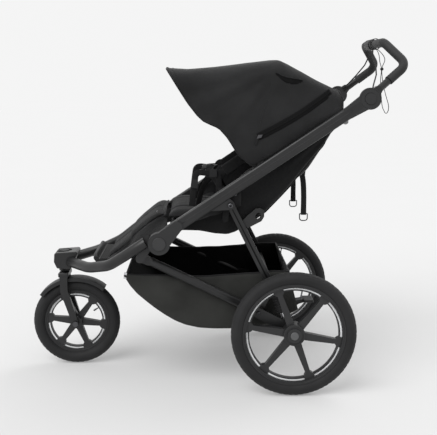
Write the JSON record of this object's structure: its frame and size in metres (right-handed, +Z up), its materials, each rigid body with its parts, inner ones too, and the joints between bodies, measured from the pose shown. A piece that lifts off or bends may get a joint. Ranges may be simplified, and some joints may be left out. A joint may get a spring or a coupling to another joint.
{
  "type": "jogging stroller",
  "caption": "Folding jogging stroller with a swivelling front wheel, sprung rear axle, tilting handle, padded seat, hooped canopy and an under-seat basket.",
  "frame": {"origin": "on the floor, in the middle plane, halfway along the stroller's overall length", "axes": "+X backwards towards the person who pushes, +Y to the stroller's right, +Z up"},
  "size_m": [1.2483, 0.694, 1.1375],
  "materials": {
    "frame_paint": "satin",
    "moulding": "satin",
    "wheel": "satin",
    "tyre": "matte",
    "soft_grip": "matte",
    "fabric": "matte",
    "webbing": "matte",
    "steel": "brushed",
    "rod": "polished",
    "grey_button": "satin"
  },
  "bodies": {
    "front_frame": {"crown_block": "frame_paint", "front_tube_left": "frame_paint", "front_tube_right": "frame_paint", "knuckle_lugs": "moulding", "front_crossbar": "frame_paint", "footrest": "moulding", "foot_liner": "fabric"},
    "lock_knob": {"swivel_lock_knob": "moulding"},
    "fork": {"fork": "frame_paint", "front_axle": "steel", "fender": "moulding"},
    "front_wheel": {"front_tyre": "tyre", "front_rim": "wheel"},
    "upper_frame": {"main_tube_left": "frame_paint", "main_tube_right": "frame_paint", "knuckle_arms": "moulding", "knuckle_caps": "moulding", "strut_brackets": "frame_paint", "handle_sockets": "moulding", "upper_crossbar": "frame_paint", "seat_crossbar": "frame_paint", "canopy_mounts": "frame_paint", "recline_brackets": "frame_paint", "seat_cushion": "fabric", "calf_panel": "fabric", "seat_sides": "fabric", "harness_buckle": "moulding", "canopy": "fabric"},
    "handle": {"handlebar": "frame_paint", "grip": "soft_grip", "wrist_strap": "webbing", "brake_cables": "soft_grip"},
    "brake_twist": {"brake_twist": "moulding"},
    "tilt_button_left": {"tilt_button_left": "moulding"},
    "tilt_button_right": {"tilt_button_right": "moulding"},
    "front_bow": {"front_bow": "frame_paint"},
    "mid_bow": {"mid_bow": "frame_paint"},
    "backrest": {"back_cushion": "fabric", "backrest_frame": "frame_paint", "recline_straps": "webbing", "strap_rings": "steel"},
    "chassis": {"chassis_tubes": "frame_paint", "pivot_elbows": "frame_paint", "rear_crossbar": "frame_paint", "shock_boots": "soft_grip", "basket": "fabric"},
    "struts": {"struts": "frame_paint", "strut_bar": "frame_paint", "lock_hook": "frame_paint"},
    "rear_axle": {"swing_arms": "frame_paint", "axle_beam": "frame_paint", "brake_bracket": "moulding", "shock_rods": "rod"},
    "brake_pedal": {"brake_pedal": "moulding"},
    "rear_wheel_left": {"rear_tyre_left": "tyre", "rear_rim_left": "wheel"},
    "rear_wheel_right": {"rear_tyre_right": "tyre", "rear_rim_right": "wheel"},
    "release_button_left": {"release_button_left": "grey_button"},
    "release_button_right": {"release_button_right": "grey_button"}
  },
  "joints": [
    {"name": "fold", "type": "hinge", "parent": "front_frame", "child": "upper_frame", "pos_m": [-0.163, 0, 0.4875], "axis": [0, -1, 0], "range_deg": [0, 90], "deforming": ["calf_panel", "foot_liner", "seat_sides"]},
    {"name": "chassis_swing", "type": "hinge", "parent": "front_frame", "child": "chassis", "pos_m": [-0.225, 0, 0.434], "axis": [0, -1, 0], "range_deg": [0, 72], "deforming": ["basket"]},
    {"name": "strut_swing", "type": "hinge", "parent": "chassis", "child": "struts", "pos_m": [0.195, 0, 0.339], "axis": [0, -1, 0], "range_deg": [0, 8]},
    {"name": "suspension", "type": "hinge", "parent": "chassis", "child": "rear_axle", "pos_m": [0.152, 0, 0.258], "axis": [0, -1, 0], "range_deg": [0, 6], "stiffness_Nm_per_rad": 220, "springref_deg": -6.88},
    {"name": "rear_wheel_left_spin", "type": "hinge", "parent": "rear_axle", "child": "rear_wheel_left", "pos_m": [0.262, -0.32, 0.2], "axis": [0, 1, 0], "continuous": true},
    {"name": "rear_wheel_right_spin", "type": "hinge", "parent": "rear_axle", "child": "rear_wheel_right", "pos_m": [0.262, 0.32, 0.2], "axis": [0, 1, 0], "continuous": true},
    {"name": "release_left_press", "type": "slide", "parent": "rear_wheel_left", "child": "release_button_left", "axis": [0, 1, 0], "range_m": [0, 0.002], "stiffness_N_per_m": 900, "springref_m": -0.002},
    {"name": "release_right_press", "type": "slide", "parent": "rear_wheel_right", "child": "release_button_right", "axis": [0, -1, 0], "range_m": [0, 0.002], "stiffness_N_per_m": 900, "springref_m": -0.002},
    {"name": "brake_pedal_press", "type": "hinge", "parent": "rear_axle", "child": "brake_pedal", "pos_m": [0.304, 0, 0.216], "axis": [0, 1, 0], "range_deg": [0, 20]},
    {"name": "fork_swivel", "type": "hinge", "parent": "front_frame", "child": "fork", "pos_m": [-0.509, 0, 0.36], "axis": [0, 0, 1], "continuous": true},
    {"name": "front_wheel_spin", "type": "hinge", "parent": "fork", "child": "front_wheel", "pos_m": [-0.47, 0, 0.152], "axis": [0, 1, 0], "continuous": true},
    {"name": "swivel_lock_turn", "type": "hinge", "parent": "front_frame", "child": "lock_knob", "pos_m": [-0.509, 0, 0.41], "axis": [0, 0, 1], "range_deg": [0, 90]},
    {"name": "handle_tilt", "type": "hinge", "parent": "upper_frame", "child": "handle", "pos_m": [0.494, 0, 0.941], "axis": [0, 1, 0], "range_deg": [-30, 60]},
    {"name": "brake_twist_turn", "type": "hinge", "parent": "handle", "child": "brake_twist", "pos_m": [0.564, 0, 1.119], "axis": [0, 1, 0], "range_deg": [0, 30], "stiffness_Nm_per_rad": 0.5, "springref_deg": -28.65},
    {"name": "tilt_left_press", "type": "slide", "parent": "upper_frame", "child": "tilt_button_left", "axis": [0, 1, 0], "range_m": [0, 0.003], "stiffness_N_per_m": 900, "springref_m": -0.002},
    {"name": "tilt_right_press", "type": "slide", "parent": "upper_frame", "child": "tilt_button_right", "axis": [0, -1, 0], "range_m": [0, 0.003], "stiffness_N_per_m": 900, "springref_m": -0.002},
    {"name": "canopy_fold", "type": "hinge", "parent": "upper_frame", "child": "front_bow", "pos_m": [0.142, 0, 0.77], "axis": [0, 1, 0], "range_deg": [0, 70], "deforming": ["canopy"]},
    {"name": "mid_bow_turn", "type": "hinge", "parent": "upper_frame", "child": "mid_bow", "pos_m": [0.142, 0, 0.77], "axis": [0, 1, 0], "range_deg": [0, 18]},
    {"name": "recline", "type": "hinge", "parent": "upper_frame", "child": "backrest", "pos_m": [0.046, 0, 0.56], "axis": [0, 1, 0], "range_deg": [-10, 15]}
  ],
  "couplings": [
    {"joint": "chassis_swing", "follows": "fold", "ratio": 0.77},
    {"joint": "strut_swing", "follows": "fold", "ratio": 0.06},
    {"joint": "mid_bow_turn", "follows": "canopy_fold", "ratio": 0.25}
  ]
}
